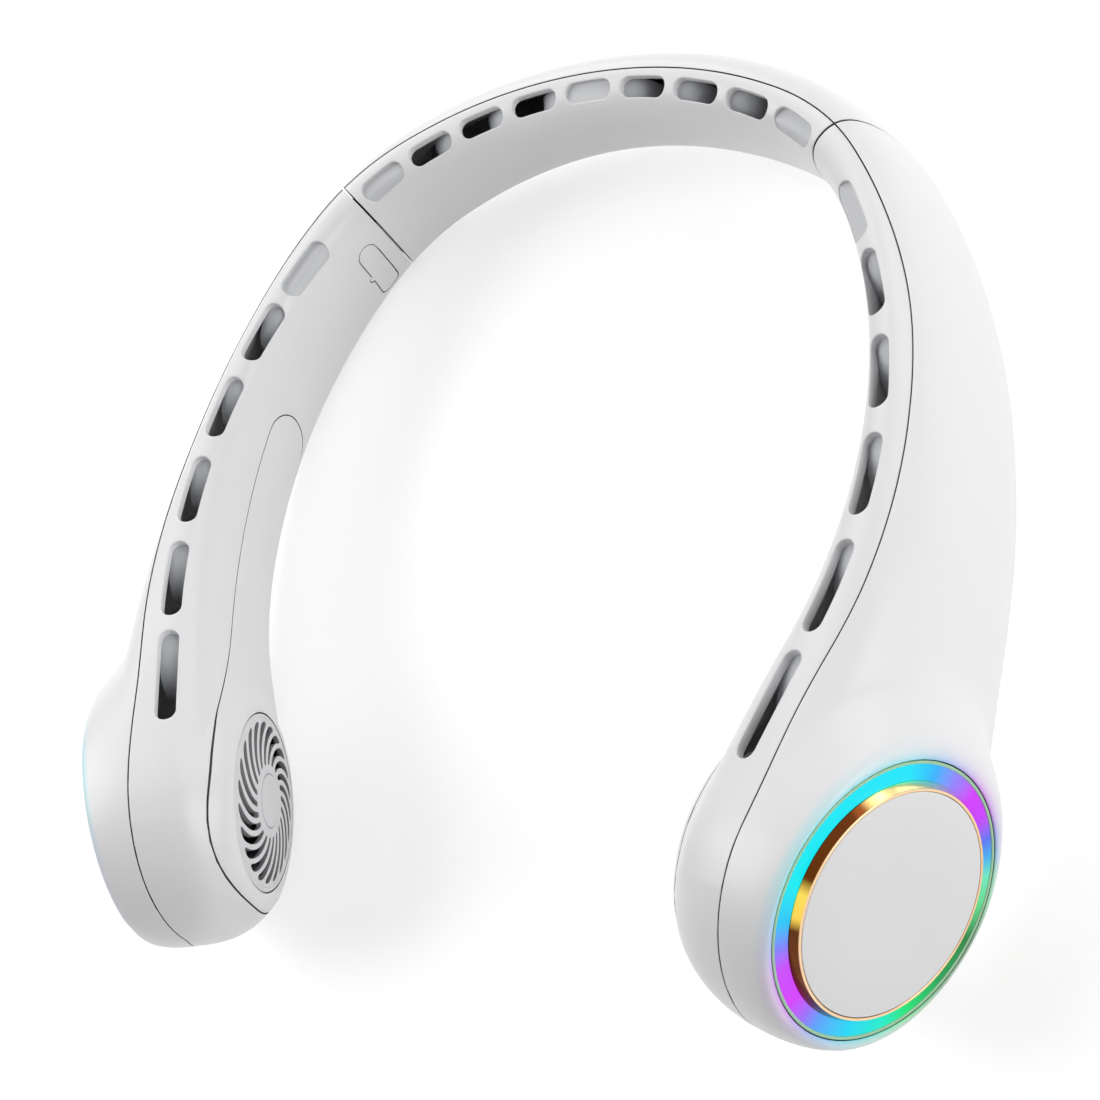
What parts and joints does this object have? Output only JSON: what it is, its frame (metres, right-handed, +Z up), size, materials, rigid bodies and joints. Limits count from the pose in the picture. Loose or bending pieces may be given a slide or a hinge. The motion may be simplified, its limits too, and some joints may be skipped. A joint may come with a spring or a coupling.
{
  "type": "neck fan",
  "caption": "Bladeless-look neck fan: a U-shaped band with air slots along its top edge, hinged arms, round fan pods with swirl intake grilles and lit rings with gold bezels.",
  "frame": {"origin": "on the table, under the middle of the part", "axes": "+Z up, +Y towards the nape, so that the arms point to -Y. The right arm, on the side of +X, is the one whose lit pod faces the camera in the picture."},
  "size_m": [0.2082, 0.2186, 0.0621],
  "materials": {
    "shell": "white satin moulding",
    "grille": "pale grey moulding",
    "disc": "fine matte white",
    "bezel": "polished gold plating",
    "glow": "frosted diffuser lit in several colours",
    "rim": "clear pale green",
    "vane": "light grey",
    "steel": "plain",
    "motor_can": "satin",
    "inner_white": "moulded",
    "wheel": "moulded",
    "board": "lacquered circuit board",
    "cell": "shrink wrap",
    "frame_grey": "moulded",
    "soft_grey": "soft",
    "flap": "soft white"
  },
  "bodies": {
    "neck": {"neck_core": "shell", "neck_cover": "shell", "battery_cells": "cell", "battery_tray": "frame_grey", "air_vanes_neck": "vane", "joint_sleeve_right": "soft_grey", "joint_sleeve_left": "soft_grey", "hinge_pin_right": "steel", "hinge_pin_left": "steel"},
    "arm_right": {"arm_core_right": "shell", "arm_cover_right": "shell", "inner_panel_right": "shell", "intake_grille_right": "grille", "grille_badge_right": "grille", "motor_right": "motor_can", "motor_bracket_right": "inner_white", "lamp_board_right": "board", "light_ring_right": "glow", "clear_rim_right": "rim", "gold_bezel_right": "bezel", "end_disc_right": "disc", "air_vanes_right": "vane", "bracket_screws_right": "steel"},
    "arm_left": {"arm_core_left": "shell", "arm_cover_left": "shell", "inner_panel_left": "shell", "intake_grille_left": "grille", "grille_badge_left": "grille", "motor_left": "motor_can", "motor_bracket_left": "inner_white", "lamp_board_left": "board", "light_ring_left": "glow", "clear_rim_left": "rim", "gold_bezel_left": "bezel", "end_disc_left": "disc", "air_vanes_left": "vane", "bracket_screws_left": "steel", "main_board": "board", "usb_socket": "steel"},
    "wheel_right": {"fan_wheel_right": "wheel", "wheel_shaft_right": "steel"},
    "wheel_left": {"fan_wheel_left": "wheel", "wheel_shaft_left": "steel"},
    "port_flap": {"port_cover": "flap"},
    "button": {"power_button": "shell"}
  },
  "joints": [
    {"name": "arm_fold_right", "type": "hinge", "parent": "neck", "child": "arm_right", "pos_m": [0.06167, 0.07175, 0.01813], "axis": [0.2248, 0.069, -0.972], "range_deg": [0, 8]},
    {"name": "arm_fold_left", "type": "hinge", "parent": "neck", "child": "arm_left", "pos_m": [-0.06167, 0.07175, 0.01813], "axis": [0.2248, -0.069, 0.972], "range_deg": [0, 8]},
    {"name": "wheel_spin_right", "type": "hinge", "parent": "arm_right", "child": "wheel_right", "pos_m": [0.06072, -0.07427, 0.02559], "axis": [-0.928, 0.1946, -0.3178], "continuous": true},
    {"name": "wheel_spin_left", "type": "hinge", "parent": "arm_left", "child": "wheel_left", "pos_m": [-0.06072, -0.07427, 0.02559], "axis": [0.928, 0.1946, -0.3178], "continuous": true},
    {"name": "port_flap_open", "type": "hinge", "parent": "arm_left", "child": "port_flap", "pos_m": [-0.06291, 0.06659, 0.0157], "axis": [0.2489, -0.0357, 0.9679], "range_deg": [0, 100]},
    {"name": "button_press", "type": "slide", "parent": "arm_left", "child": "button", "axis": [0.8973, -0.3639, -0.2499], "range_m": [0, 0.0006], "stiffness_N_per_m": 800, "springref_m": -0.0004}
  ]
}
